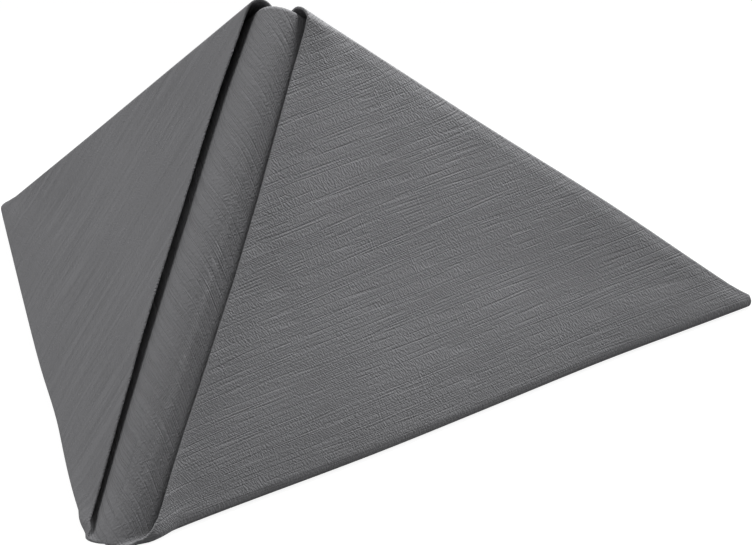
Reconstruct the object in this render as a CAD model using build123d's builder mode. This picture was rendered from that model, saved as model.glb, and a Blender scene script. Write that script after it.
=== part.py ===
from build123d import *

import os
from math import acos, atan, cos, degrees, pi, radians, sin, sqrt, tan

# Sheet as it is cut, and the thickness of its paper
sheet_side = 400.0
ply = 0.4

# Room left inside each fold: the diagonal one, the standing ones, the one at the top and the inner layers
first_gap = 0.25
corner_gap = 2.05
back_gap = 0.8
inner_gap = 0.7
# Clearance at the top, where the folded corners pass over the ridge layers
top_gap = 0.3

# Bend over the ridge, to the middle of its outer layer, and the angle between the standing folds
ridge_radius = 5.75
standing_angle = 53.9

# How far the standing folds run on past the top fold, and how far they are pressed flat underneath
corner_overrun = 1.7
foot_press = 0.12

# The first fold is along the diagonal, so every layer is two plies, and its folded edge is round
double = 2 * ply + first_gap
half_diagonal = sheet_side / sqrt(2)
edge_round = ply

# Half the angle between the wings, and the directions along the ridge, along the right wing and out of it
half_wing = acos(sqrt(cos(radians(standing_angle))))
ridge_slope = atan(cos(half_wing))
ridge_dir = Vector(0, cos(ridge_slope), sin(ridge_slope))
inward = Vector(0, sin(ridge_slope), -cos(ridge_slope))
wing_dir = Vector(sin(half_wing), 0, 0) + inward * cos(half_wing)
wing_out = wing_dir.cross(ridge_dir)
fold_dir = (wing_dir + ridge_dir).normalized()
below_fold = (wing_dir - ridge_dir).normalized()

# Levels of the four double layers through a wing, measured outward from the middle of the outer ridge layer
flap_level = double + corner_gap
inner_level = -(double + back_gap)
inner_flap_level = inner_level - double - inner_gap

# Middle radii of the standing fold and of the two top folds, one inside the other
standing_radius = flap_level / 2
inner_top_radius = -inner_level / 2
flap_top_radius = (flap_level - inner_flap_level) / 2
flap_top_level = (flap_level + inner_flap_level) / 2

# Bend over the ridge: its centre and where the wings leave it, from the line in which the wings would meet
bend_turn = 90 - degrees(half_wing)
bend_centre = ridge_radius / sin(half_wing)
bend_end = ridge_radius / tan(half_wing)

# Height that sets the standing folds on the table, and how far the front tip then reaches below the flaps
foot_radius = standing_radius + double / 2
lift = foot_radius - foot_press - wing_dir.Z * bend_end - wing_out.Z * standing_radius
front_tip = (lift + inward.Z * (bend_centre - ridge_radius)) / ridge_dir.Z

# Lengths up the ridge from the front end of a standing fold
corner_end = (half_diagonal - ridge_radius * radians(bend_turn) - front_tip) / 2
wing_height = corner_end - corner_overrun
layer_top = wing_height + flap_top_radius - top_gap - double - inner_top_radius

# How far inside the wings the cut edges stop above the standing folds, as the top folds take up paper
inner_cut = pi * inner_top_radius + 2 * (layer_top - corner_end)
flap_cut = pi * flap_top_radius + 2 * (wing_height - corner_end)

# Longer than anything in the model
beyond = 2 * corner_end


def on_wing(along, up, out):
    # Point on the right wing, from the front end of its standing fold
    return Vector(0, 0, lift) + wing_dir * (bend_end + along) + ridge_dir * up + wing_out * out


def wing_plane(level):
    return Plane(origin=on_wing(0, 0, level), x_dir=wing_dir, z_dir=wing_out)


def ridge_plane(up):
    return Plane(origin=Vector(0, 0, lift) + ridge_dir * up, x_dir=(1, 0, 0), z_dir=ridge_dir)


def bend_arc(radius):
    return CenterArc((0, bend_centre), radius, -90, bend_turn)


def layer_section(level, thickness):
    # One layer from the middle of the ridge, round the bend and out along the wing
    with BuildLine() as outline:
        outer_bend = bend_arc(ridge_radius + level + thickness / 2)
        inner_bend = bend_arc(ridge_radius + level - thickness / 2)
        outer_run = PolarLine(outer_bend @ 1, beyond, bend_turn)
        inner_run = PolarLine(inner_bend @ 1, beyond, bend_turn)
        Line(outer_bend @ 0, inner_bend @ 0)
        Line(outer_run @ 1, inner_run @ 1)
    return outline.edges()


def fold_section(radius, thickness):
    # A layer turned back on itself
    with BuildLine() as outline:
        outside = CenterArc((0, 0), radius + thickness / 2, -90, 180)
        inside = CenterArc((0, 0), radius - thickness / 2, -90, 180)
        Line(outside @ 0, inside @ 0)
        Line(outside @ 1, inside @ 1)
    return outline.edges()


def past_cut(outer_end, outer_side, inner_end, inner_side):
    # Over a top fold the cut edge slants back along the wing, from its outer layer to its inner one
    slant = [(outer_end, -outer_side), (inner_end, -inner_side)]
    return slant + [(inner_end, beyond), (beyond, beyond), (beyond, -outer_side)]


def folded_half(thickness, inset, overrun, rounding):
    # Right half of the folded sheet, its diagonal fold moved in by the inset, its cut edges by the overrun
    with BuildPart() as outer_layer:
        with BuildSketch(ridge_plane(-beyond)):
            make_face(layer_section(0, thickness))
        extrude(amount=beyond + layer_top)
        # The wing stops at the standing fold, and the ridge stands on the table
        with BuildSketch(wing_plane(0)):
            Polygon((0, 0), (beyond, beyond), (beyond, -beyond), (0, -beyond), align=None)
        extrude(amount=double, both=True, mode=Mode.SUBTRACT)
        split(bisect_by=Plane.XY.offset(inset), keep=Keep.TOP)
        if rounding:
            fillet(outer_layer.faces().sort_by(Axis.Z)[0].edges().filter_by(GeomType.ELLIPSE), rounding)

    with BuildPart() as inner_layer:
        with BuildSketch(ridge_plane(-beyond)):
            make_face(layer_section(inner_level, thickness))
        extrude(amount=beyond + layer_top)
        # Its cut edge runs beside the standing fold and meets the other wing's under the ridge
        cut = inner_cut - overrun
        with BuildSketch(wing_plane(0)):
            Polygon((-beyond, cut - beyond), (beyond, cut + beyond), (beyond, -beyond), align=None)
        extrude(amount=beyond, both=True, mode=Mode.SUBTRACT)

    # Top fold of the ridge layers, round the bend and along the wing
    with BuildPart() as inner_top:
        with BuildLine(ridge_plane(layer_top)) as top_path:
            bend = bend_arc(ridge_radius - inner_top_radius)
            PolarLine(bend @ 1, layer_top + overrun, bend_turn)
        with BuildSketch(Plane(origin=top_path.line @ 0, x_dir=ridge_dir, z_dir=(1, 0, 0))):
            make_face(fold_section(inner_top_radius, thickness))
        sweep(path=top_path.line)
        with BuildSketch(Plane(origin=on_wing(overrun, layer_top, 0), x_dir=wing_dir, z_dir=ridge_dir)):
            Polygon(*past_cut(layer_top, 0, layer_top - inner_cut, inner_level), align=None)
        extrude(amount=beyond, mode=Mode.SUBTRACT)

    # Folded corner: a flap outside, over the top, and down again as a smaller flap inside
    with BuildPart() as flap:
        with BuildSketch(wing_plane(flap_level)):
            Polygon((inset, inset), (wing_height, wing_height), (inset, wing_height), align=None)
        with BuildSketch(wing_plane(inner_flap_level)):
            cut = flap_cut - overrun
            Polygon((inset, cut + inset), (wing_height - cut, wing_height), (inset, wing_height), align=None)
        extrude(amount=thickness / 2, both=True)
        top_start = on_wing(inset, wing_height, flap_top_level)
        with BuildSketch(Plane(origin=top_start, x_dir=ridge_dir, z_dir=wing_dir)):
            make_face(fold_section(flap_top_radius, thickness))
        extrude(amount=corner_end + overrun - inset)
        with BuildSketch(Plane(origin=on_wing(overrun, wing_height, 0), x_dir=wing_dir, z_dir=ridge_dir)):
            Polygon(*past_cut(corner_end, flap_level, wing_height - flap_cut, inner_flap_level), align=None)
        extrude(amount=beyond, mode=Mode.SUBTRACT)
        # Standing fold, from the seam to the rear corner
        standing_start = on_wing(-beyond, -beyond, standing_radius)
        with BuildSketch(Plane(origin=standing_start, x_dir=below_fold, z_dir=fold_dir)):
            make_face(fold_section(standing_radius, thickness))
        extrude(amount=(beyond + corner_end) * sqrt(2) + overrun)
        split(bisect_by=Plane(origin=on_wing(inset, 0, 0), x_dir=ridge_dir, z_dir=wing_dir), keep=Keep.TOP)
        if rounding:
            seam_edges = flap.edges().group_by(Axis(on_wing(0, 0, 0), wing_dir))[0]
            fillet(seam_edges.filter_by(Axis(on_wing(0, 0, 0), wing_out), reverse=True), rounding)

    with BuildPart() as half:
        for piece in (outer_layer, inner_layer, inner_top, flap):
            add(piece.part)
    return half.part


folded_paper = folded_half(double, 0, 0, edge_round)
gap_between_plies = folded_half(first_gap, ply, double, 0)

with BuildPart() as napkin:
    add(folded_paper)
    add(gap_between_plies, mode=Mode.SUBTRACT)
    mirror(about=Plane.YZ)
    # Underneath, the table presses the standing folds flat
    split(bisect_by=Plane.XY, keep=Keep.TOP)

# The origin is on the table, under the middle of the napkin
napkin.part.position = (0, -napkin.part.bounding_box().center().Y, 0)

os.makedirs("parts", exist_ok=True)
napkin.part.label = "napkin"
export_step(napkin.part, "parts/napkin.step")
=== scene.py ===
import bpy
import bmesh
import math
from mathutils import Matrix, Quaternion, Vector


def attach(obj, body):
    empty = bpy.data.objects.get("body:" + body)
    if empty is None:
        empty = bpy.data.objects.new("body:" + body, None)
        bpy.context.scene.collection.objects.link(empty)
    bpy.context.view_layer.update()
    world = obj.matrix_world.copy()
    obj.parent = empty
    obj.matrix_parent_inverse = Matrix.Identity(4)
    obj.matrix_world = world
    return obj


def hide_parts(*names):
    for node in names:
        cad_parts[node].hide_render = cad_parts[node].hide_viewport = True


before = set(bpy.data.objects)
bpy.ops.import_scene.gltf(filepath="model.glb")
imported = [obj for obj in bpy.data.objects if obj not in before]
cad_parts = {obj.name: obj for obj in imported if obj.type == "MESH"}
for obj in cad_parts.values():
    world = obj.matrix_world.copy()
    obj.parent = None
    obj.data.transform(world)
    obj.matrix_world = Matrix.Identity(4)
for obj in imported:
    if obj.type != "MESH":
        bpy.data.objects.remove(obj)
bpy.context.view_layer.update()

mm = 0.001
root2 = math.sqrt(2)

# the paper, in mm
sheet = {
    "side": 400.0,          # square, as cut
    "ply": 0.28,            # one ply of embossed paper
    "apart": 0.34,          # ply to ply inside a double layer
    "step": 3.6,            # mesh lines over the plain parts
    "fine": 0.7,            # and round the folds
    "standLines": 12,       # mesh steps round a standing fold
    "cutBand": 4,           # only faces this near are cut for one of its lines
    "smooth": 50,           # degrees, sharper edges than this stay sharp
}

# the way it is folded, in mm from the front corner of a flap
fold = {
    "ridgeRadius": 5.75,    # bend over the ridge, middle of the outer double layer
    "standingAngle": 53.9,  # degrees between the standing folds, from above
    "standRadius": 1.55,    # soft fold along the table
    "flapTop": 136.05,      # up the ridge to the top fold of a flap
    "ridgeTop": 135.9,      # and to that of the ridge layers, inside it
    "ridgeBehind": 1.85,    # how far behind the wing they hang down again
    "flapBehind": 3.6,
    "footPress": 0.04,      # the standing folds press on the table
    "centre": 86.99,        # back to the middle of the footprint
}

# what the paper does by itself, in mm; left wing first
slack = {
    "rest": (2.55, 2.5),        # level of the flap away from its standing fold
    "restReach": (4, 3.6),      # how far from the fold it gets there, at the top
    "restMore": 40,             # and up to this much farther lower down
    "bulge": (0.4, 0.15),       # it stands out a little on the way
    "bulgeReach": 9,
    "lipReach": (30, 10),       # how far from its edge along the ridge the flap lifts or dips
    # level of that edge, by its share of the way up the ridge
    "lip": (((0, 1.4), (0.02, 1.6), (0.05, 1.75), (0.14, 1.9), (0.28, 2.1), (0.35, 2.4),
             (0.5, 2.5), (1, 2.6)),
            ((0, 3.0), (0.05, 2.6), (0.12, 2.0), (0.2, 1.7), (0.9, 1.7), (0.96, 2.0), (1, 2.5))),
    # how far it draws back from the bend
    "back": (((0, 2.6), (0.09, 2.8), (0.3, 2.5), (0.6, 2.6), (0.75, 3.2), (0.85, 3.0),
              (0.99, 1.2), (1.02, -0.4)),
             ((0, 1.7), (0.015, 2.4), (0.03, 3.0), (0.045, 3.3), (0.075, 3.5), (0.15, 3.7),
              (0.3, 4.1), (0.5, 4.4), (0.65, 4.0), (0.8, 3.2), (0.97, 2.3), (1, 1.6),
              (1.03, -0.3))),
    "backStart": ((0, 5), (-2, 2.5)),   # where up the ridge it starts to, and over what length
    "backLeast": 8,                     # it fades over the flap's width, taken as no less
    "pinch": ((-0.1, 3), (0.5, 3)),     # its front corner dips: share of height, how soon it is up
    "tip": 0.2,                 # the front tip is drawn out over the table
    "tipReach": 30,
    "crease": (9, 0.55),        # radius of the flap's top fold at its edges, away from the apex
    "creaseStart": (4, 12),     # where it starts to be less than round, and over what length
    "creaseUp": 0.66,           # it reaches up for it, by this share of what the radius loses
    "crimp": (0, 0.3),          # the flap comes down a little towards the crease
    "crimpStart": (-3, 4),      # from where, seen from the crease, and over what length
    # soft waves: height, place along the fold and width, the last two as shares of its length
    "topWave": (((-0.2, 0.65, 0.25),),
                ((-0.8, 0.5, 9), (0.75, 0.68, 0.2), (0.2, 0.0, 0.06))),
    "standWave": (((-0.75, 0.32, 0.12), (-1.0, 0.0, 0.1), (-0.3, 0.15, 0.1), (0.6, -0.01, 0.025),
                   (-0.28, 0.3, 0.32)),
                  ((0.9, 0.36, 0.18), (-0.6, 0.76, 0.13), (0.45, 0.0, 0.06), (-0.35, 0.85, 0.3))),
    "standWaveUp": 40,          # the standing folds' waves fade out at this height
}

halfDiagonal = sheet["side"] / root2
halfWing = math.acos(math.sqrt(math.cos(math.radians(fold["standingAngle"]))))
slope = math.atan(math.cos(halfWing))
ridgeDir = Vector((0, math.cos(slope), math.sin(slope)))
inwardDir = Vector((0, math.sin(slope), -math.cos(slope)))
wingDir = Vector((math.sin(halfWing), 0, 0)) + inwardDir * math.cos(halfWing)
wingOut = wingDir.cross(ridgeDir)
bendCentre = fold["ridgeRadius"] / math.sin(halfWing)
bendEnd = fold["ridgeRadius"] / math.tan(halfWing)
bendLength = fold["ridgeRadius"] * (math.pi / 2 - halfWing)
standArc = math.pi * fold["standRadius"]
setBack = standArc / root2                  # paper that the standing fold takes from the seam
hairpin = sheet["apart"] / 2
hairpinArc = math.pi / 2 * hairpin
foot = fold["standRadius"] + hairpin + sheet["ply"] / 2
lift = foot - fold["footPress"] - wingDir.z * bendEnd - wingOut.z * fold["standRadius"]
ridgeFoot = Vector((0, -fold["centre"], lift))
outOnTable = Vector((wingOut.x, wingOut.y, 0)).normalized()


def meshLines(stops):
    # mesh lines from the middle of the sheet to its corner, closer together where it folds
    lines = []
    for start, end, step in stops:
        count = max(1, round((end - start) / step))
        lines += [start + (end - start) * i / count for i in range(count)]
    lines.append(stops[-1][1])
    return [-x for x in reversed(lines[1:])] + lines


def mix(a, b, t):
    return a + (b - a) * t


def ease(t):
    t = min(1, max(0, t))
    return t * t * (3 - 2 * t)


def swell(bumps, t):
    # sum of soft bumps, each a height in mm, its place along the fold and its width
    return sum(h * math.exp(-((t - c) / w) ** 2) for h, c, w in bumps)


def along(points, t):
    # straight lines from point to point
    for (t0, v0), (t1, v1) in zip(points, points[1:]):
        if t <= t1:
            return mix(v0, v1, max(0, t - t0) / (t1 - t0))
    return points[-1][1]


def foldPoint(p, q):
    # place of a point of the flat sheet once it is folded; p and q run along its diagonals
    side = 0 if p < 0 else 1
    sign = -1 if p < 0 else 1
    a, b = abs(p), abs(q)

    # first fold, along the diagonal: two plies a hairpin apart
    if b < hairpinArc:
        edge = hairpin * (1 - math.cos(b / hairpin))
        off = hairpin * math.sin(b / hairpin)
    else:
        edge = hairpin + b - hairpinArc
        off = hairpin
    off = off if q > 0 else -off

    # second fold: the corner goes up along a soft fold at 45 degrees
    x, y = a - bendLength, edge - setBack
    y -= slack["tip"] * ease(1 - a / bendLength) * ease(1 - edge / slack["tipReach"])
    d, t = (x - y) / root2, (x + y) / root2
    turn = min(math.pi, max(0, d / fold["standRadius"]))
    flap = (1 - math.cos(turn)) / 2
    if d > standArc:
        d, off = standArc - d, -off
    elif d > 0:
        d = (fold["standRadius"] - off) * math.sin(turn)
        off = off * math.cos(turn)
    low, soon = slack["pinch"][side]
    pinch = mix(low, 1, ease(t / soon)) if flap > 0.5 else 1
    level = fold["standRadius"] * (1 - pinch * math.cos(turn))
    x, y = (t + d) / root2, (t - d) / root2
    up = y / fold["flapTop"]

    # the flap settles on the ridge layers, and its edge draws back from the bend
    if flap > 0:
        away, reach = (y - x) / root2, slack["restReach"][side]
        edgeLevel = mix(level, along(slack["lip"][side], up), ease(away / reach))
        reach += min(slack["restMore"], max(0, fold["flapTop"] - y))
        settled = ease(away / reach)
        bulge = slack["bulge"][side] * ease(away / slack["bulgeReach"])
        restLevel = mix(level, slack["rest"][side], settled) + bulge * (1 - settled)
        nearEdge = ease(1 - x / slack["lipReach"][side])
        level = mix(level, mix(restLevel, edgeLevel, nearEdge), flap)
        start, length = slack["backStart"][side]
        fade = max(0, 1 - x / max(y, slack["backLeast"]))
        x += flap * along(slack["back"][side], up) * fade * ease((y - start) / length)

    # third fold: the top half goes down behind, the flaps outside the ridge layers
    behind = mix(fold["ridgeBehind"], fold["flapBehind"], flap)
    radius, centre = (level + behind) / 2, (level - behind) / 2
    # round at the apex, and farther out creased along its two edges
    start, length = slack["creaseStart"]
    sharp = flap * ease((x - start) / length)
    crease = mix(radius, min(radius, slack["crease"][side]), sharp)
    topLine = mix(fold["ridgeTop"], fold["flapTop"], flap)
    topLine += flap * swell(slack["topWave"][side], x / fold["flapTop"])
    topLine += slack["creaseUp"] * (radius - crease)
    over = y - topLine
    quarter, between = math.pi / 2 * crease, 2 * (radius - crease)
    if over > 2 * quarter + between:
        y, z = topLine - (over - 2 * quarter - between), centre - radius - off
    elif over > quarter + between:
        turn = (over - between) / crease
        y = topLine + (crease + off) * math.sin(turn)
        z = centre - radius + crease + (crease + off) * math.cos(turn)
    elif over > quarter:
        y, z = topLine + crease + off, centre + radius - crease - (over - quarter)
    elif over > 0:
        turn = over / crease
        y = topLine + (crease + off) * math.sin(turn)
        z = centre + radius - crease + (crease + off) * math.cos(turn)
    else:
        z = level + off
    start, length = slack["crimpStart"]
    z -= slack["crimp"][side] * sharp * ease((over - start) / length)

    # bent over the ridge
    if x > 0:
        place = ridgeFoot + wingDir * (bendEnd + x) + ridgeDir * y + wingOut * z
    else:
        turn = (x + bendLength) / fold["ridgeRadius"]
        out = fold["ridgeRadius"] + z
        place = ridgeFoot + ridgeDir * y + inwardDir * (bendCentre - out * math.cos(turn))
        place.x += out * math.sin(turn)
    wave = swell(slack["standWave"][side], t / root2 / fold["flapTop"])
    place += outOnTable * wave * ease(1 - place.z / slack["standWaveUp"])
    place.x *= sign
    place.z = max(place.z, sheet["ply"] / 2)    # the table holds it up
    return place


def makeNapkin():
    # flat sheet laid on its diagonals, with mesh lines where it will fold: from, to, spacing in mm
    flapFold = bendLength + setBack + fold["flapTop"]
    ridgeFold = setBack + fold["ridgeTop"] + hairpinArc - hairpin
    step, fine = sheet["step"], sheet["fine"]
    across = meshLines([
        (0, 7, 0.6), (7, flapFold - 3, step), (flapFold - 3, flapFold, 0.5),
        (flapFold, flapFold + 3.2, 0.2), (flapFold + 3.2, flapFold + 12, fine),
        (flapFold + 12, halfDiagonal, step)])
    up = meshLines([
        (0, hairpinArc, hairpinArc / 4), (hairpinArc, 1, 0.35), (1, 9, 0.9),
        (9, ridgeFold - 1, step), (ridgeFold - 1, ridgeFold + 4, 0.36),
        (ridgeFold + 4, halfDiagonal, step)])
    columns, rows = len(across) - 1, len(up) - 1
    bpy.ops.object.select_all(action="DESELECT")
    bpy.ops.mesh.primitive_grid_add(x_subdivisions=columns, y_subdivisions=rows, size=2)
    napkin = bpy.context.object
    napkin.name = napkin.data.name = "napkin_sheet"
    for v in napkin.data.vertices:
        i = round((v.co.x + 1) / 2 * columns)
        j = round((v.co.y + 1) / 2 * rows)
        v.co = Vector((across[i], up[j], 0)) * mm

    # cut to the square, then lines along the four standing folds
    corners = [(sx, sy) for sx in (1, -1) for sy in (1, -1)]
    onLine = 1e-7           # m, vertices this near a cut are on it
    merge = 0.005 * mm      # and those this near each other become one
    bpy.ops.object.mode_set(mode="EDIT")
    bpy.ops.mesh.select_mode(type="FACE")
    for sx, sy in corners:
        bpy.ops.mesh.select_all(action="SELECT")
        edge = Vector((sx, sy, 0)) * halfDiagonal / 2 * mm
        bpy.ops.mesh.bisect(plane_co=edge, plane_no=(sx, sy, 0), clear_outer=True,
                            threshold=onLine)
    start = bendLength - setBack - hairpinArc + hairpin
    band = sheet["cutBand"] * mm
    for sx, sy in corners:
        normal = Vector((sx, -sy, 0)) / root2
        for i in range(sheet["standLines"] + 1):
            far = start + root2 * standArc * i / sheet["standLines"]
            line = Vector((sx * far, 0, 0)) * mm
            bm = bmesh.from_edit_mesh(napkin.data)
            for f in bm.faces:
                c = f.calc_center_median()
                inCorner = c.x * sx > 0 and c.y * sy > 0
                f.select = inCorner and abs((c - line).dot(normal)) < band
            bm.select_flush_mode()
            bmesh.update_edit_mesh(napkin.data)
            bpy.ops.mesh.bisect(plane_co=line, plane_no=normal, threshold=onLine)
    bpy.ops.mesh.select_all(action="SELECT")
    bpy.ops.mesh.remove_doubles(threshold=merge)
    bpy.ops.object.mode_set(mode="OBJECT")
    print("flat sheet:", len(napkin.data.polygons), "faces")

    # the flat sheet is its own map, with its sides along U and V
    layers = napkin.data.uv_layers
    uv = layers[0] if layers else layers.new(name="flatSheet")
    for loop in napkin.data.loops:
        c = napkin.data.vertices[loop.vertex_index].co / mm
        uv.data[loop.index].uv = ((c.x + c.y) / root2 / sheet["side"] + 0.5,
                                  (c.y - c.x) / root2 / sheet["side"] + 0.5)

    for v in napkin.data.vertices:
        v.co = foldPoint(v.co.x / mm, v.co.y / mm) * mm
    thick = napkin.modifiers.new("thickness", "SOLIDIFY")
    thick.thickness = sheet["ply"] * mm
    thick.offset = 0
    bpy.ops.object.modifier_apply(modifier=thick.name)
    bpy.ops.object.shade_smooth_by_angle(angle=math.radians(sheet["smooth"]))
    print("folded napkin:", len(napkin.data.polygons), "faces")
    return napkin


def linear(hexColour):
    parts = [int(hexColour[i:i + 2], 16) / 255 for i in (1, 3, 5)]
    return [c / 12.92 if c < 0.04045 else ((c + 0.055) / 1.055) ** 2.4 for c in parts] + [1]


def addNode(tree, kind, settings={}, links={}):
    node = tree.nodes.new(kind)
    for name, value in settings.items():
        if isinstance(name, str) and hasattr(node, name):
            setattr(node, name, value)
        else:
            node.inputs[name].default_value = value
    for name, source in links.items():
        tree.links.new(source, node.inputs[name])
    return node


# linen emboss: size along U and V of the flat sheet and depth, in mm, and detail of the noise;
# the rows are drawn a little coarser than real ones, which blur away at the photo's size
emboss = {
    # uneven rows with thin furrows between them, where the noise passes its middle value
    "rows": {"size": (0.7, 45), "detail": 0, "middle": 0.5, "edge": (0, 0.07), "depth": 0.115},
    # finer ones along them
    "yarns": {"size": (0.4, 8), "detail": 1, "depth": 0.05},
    # short strokes across the rows, leaning by so many degrees
    "threads": {"size": (0.85, 0.44), "lean": -25, "detail": 1, "depth": 0.19},
    # now and then a thicker thread
    "slubs": {"size": (13, 0.5), "detail": 0, "edge": (0.68, 0.8), "depth": 0.04},
}


def embossedPaper():
    # dyed airlaid paper, rolled with a linen pattern: a matt dark grey, plain where the light is
    # flat on it, with uneven threads both ways and a few slubs where it is low
    mat = bpy.data.materials.new("linen_embossed_airlaid_paper")
    mat.use_nodes = True
    tree = mat.node_tree
    shader = tree.nodes["Principled BSDF"]
    shader.inputs["Base Color"].default_value = linear("#6f6f71")
    shader.inputs["Roughness"].default_value = 0.9
    shader.inputs["IOR"].default_value = 1.45
    shader.inputs["Specular IOR Level"].default_value = 0.25

    # flat sheet in mm, so that each pattern is at its real size
    flat = addNode(tree, "ShaderNodeUVMap")
    inMm = addNode(tree, "ShaderNodeVectorMath",
                   {"operation": "SCALE", "Scale": sheet["side"]}, {0: flat.outputs[0]})
    height = None
    for layer in emboss.values():
        place = inMm
        if "lean" in layer:
            place = addNode(tree, "ShaderNodeMapping",
                            {"Rotation": (0, 0, math.radians(layer["lean"]))},
                            {"Vector": place.outputs[0]})
        alongU, alongV = layer["size"]
        place = addNode(tree, "ShaderNodeMapping", {"Scale": (1 / alongU, 1 / alongV, 1)},
                        {"Vector": place.outputs[0]})
        relief = addNode(tree, "ShaderNodeTexNoise", {"Scale": 1, "Detail": layer["detail"]},
                         {"Vector": place.outputs[0]})
        if "middle" in layer:
            relief = addNode(tree, "ShaderNodeMath", {"operation": "SUBTRACT", 1: layer["middle"]},
                             {0: relief.outputs[0]})
            relief = addNode(tree, "ShaderNodeMath", {"operation": "ABSOLUTE"},
                             {0: relief.outputs[0]})
        if "edge" in layer:
            low, high = layer["edge"]
            relief = addNode(tree, "ShaderNodeMapRange",
                             {"interpolation_type": "SMOOTHSTEP",
                              "From Min": low, "From Max": high},
                             {"Value": relief.outputs[0]})
        # on top of the layers before it
        below = {} if height is None else {2: height.outputs[0]}
        height = addNode(tree, "ShaderNodeMath",
                         {"operation": "MULTIPLY_ADD", 1: layer["depth"], 2: 0},
                         {0: relief.outputs[0], **below})
    bump = addNode(tree, "ShaderNodeBump", {"Strength": 1, "Distance": mm},
                   {"Height": height.outputs[0]})
    tree.links.new(bump.outputs[0], shader.inputs["Normal"])
    print("paper:", len(emboss), "layers of emboss")
    return mat


# lamps: the way to each, what it points at in mm, its distance and size in m, its power in W
lights = {
    "world": 0.26,
    "lamps": {
        # flat on the left wing
        "leftKey": {"kind": "AREA", "way": (-0.659, -0.458, 0.599), "target": (0, 0, 40),
                    "distance": 1.6, "size": 1.0, "power": 14.8},
        # low over the right wing, to bring out the emboss; beam in degrees
        "rightRake": {"kind": "SPOT", "way": (0.539, 0.817, 0.209), "target": (35, 38, 104),
                      "distance": 2.5, "size": 0.2, "beam": 12, "power": 292},
        # down along the ridge, near it, so that the front is darker
        "ridgeRake": {"kind": "SPOT", "way": (0.13, 0.700, 0.702), "target": (10, 20, 75),
                      "distance": 0.38, "size": 0.15, "beam": 56, "power": 13.4},
    },
}

# the floor, seen white but grey as far as it throws light back; size in m
ground = {"size": 6, "bounce": "#8c8c8c", "roughness": 0.9, "glow": 0.89, "lit": "#7c7c7c"}


def seenRay(tree):
    # 1 for rays from the camera, or by way of a mirror or glass
    path = addNode(tree, "ShaderNodeLightPath")
    mirror = addNode(tree, "ShaderNodeMath", {"operation": "MAXIMUM"},
                     {0: path.outputs["Is Camera Ray"], 1: path.outputs["Is Glossy Ray"]})
    return addNode(tree, "ShaderNodeMath", {"operation": "MAXIMUM"},
                   {0: mirror.outputs[0], 1: path.outputs["Is Transmission Ray"]})


def studio():
    scene = bpy.context.scene
    scene.view_settings.view_transform = "Standard"
    bpy.ops.object.select_all(action="DESELECT")
    bpy.ops.mesh.primitive_plane_add(size=ground["size"], location=(0, 0, 0))
    floor = bpy.context.object
    floor.name = "floor"
    mat = bpy.data.materials.new("matt_white_floor")
    mat.use_nodes = True
    tree = mat.node_tree
    plain = tree.nodes["Principled BSDF"]
    plain.inputs["Base Color"].default_value = linear(ground["bounce"])
    plain.inputs["Roughness"].default_value = ground["roughness"]
    # to the camera it is white, with what light it gets on top, so that the shadow stays
    white = addNode(tree, "ShaderNodeEmission",
                    {"Color": (1, 1, 1, 1), "Strength": ground["glow"]})
    lit = addNode(tree, "ShaderNodeBsdfDiffuse", {"Color": linear(ground["lit"])})
    seen = addNode(tree, "ShaderNodeAddShader", {}, {0: white.outputs[0], 1: lit.outputs[0]})
    both = addNode(tree, "ShaderNodeMixShader", {},
                   {0: seenRay(tree).outputs[0], 1: plain.outputs[0], 2: seen.outputs[0]})
    tree.links.new(both.outputs[0], tree.nodes["Material Output"].inputs[0])
    floor.data.materials.append(mat)

    world = bpy.data.worlds.new("studio")
    scene.world = world
    world.use_nodes = True
    tree = world.node_tree
    sky = tree.nodes["Background"]
    sky.inputs["Color"].default_value = (1, 1, 1, 1)
    level = addNode(tree, "ShaderNodeMapRange", {"To Min": lights["world"], "To Max": 1.0},
                    {"Value": seenRay(tree).outputs[0]})
    tree.links.new(level.outputs[0], sky.inputs["Strength"])

    for name, settings in lights["lamps"].items():
        bpy.ops.object.light_add(type=settings["kind"])
        lamp = bpy.context.object
        lamp.name = name
        lamp.data.energy = settings["power"]
        if settings["kind"] == "AREA":
            lamp.data.shape = "DISK"
            lamp.data.size = settings["size"]
        else:
            lamp.data.shadow_soft_size = settings["size"] / 2
            lamp.data.spot_size = math.radians(settings["beam"])
            lamp.data.spot_blend = 1
        way = Vector(settings["way"]).normalized()
        lamp.location = Vector(settings["target"]) * mm + way * settings["distance"]
        lamp.rotation_euler = way.to_track_quat("Z", "Y").to_euler()
    print("studio:", len(lights["lamps"]), "lamps")


# where the photo was taken from, in degrees and mm
view = {
    "lens": 305.1,
    "sensor": 36,
    "azimuth": 18.913,
    "elevation": 21.734,
    "roll": -0.13,
    "target": (31.65, 0.0, 34.17),
    "distance": 1427.85,
    "clipEnd": 20,          # m
}


def camera():
    a, e = math.radians(view["azimuth"]), math.radians(view["elevation"])
    back = Vector((math.sin(a) * math.cos(e), -math.cos(a) * math.cos(e), math.sin(e)))
    place = (Vector(view["target"]) + back * view["distance"]) * mm
    bpy.ops.object.camera_add(location=place)
    cam = bpy.context.object
    roll = Quaternion((0, 0, 1), math.radians(view["roll"]))
    cam.rotation_euler = (back.to_track_quat("Z", "Y") @ roll).to_euler()
    cam.data.lens = view["lens"]
    cam.data.sensor_width = view["sensor"]
    cam.data.clip_end = view["clipEnd"]
    bpy.context.scene.camera = cam
    print("camera:", view["lens"], "mm")


napkin = makeNapkin()
napkin.data.materials.append(embossedPaper())
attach(napkin, "root")
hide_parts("napkin")
studio()
camera()
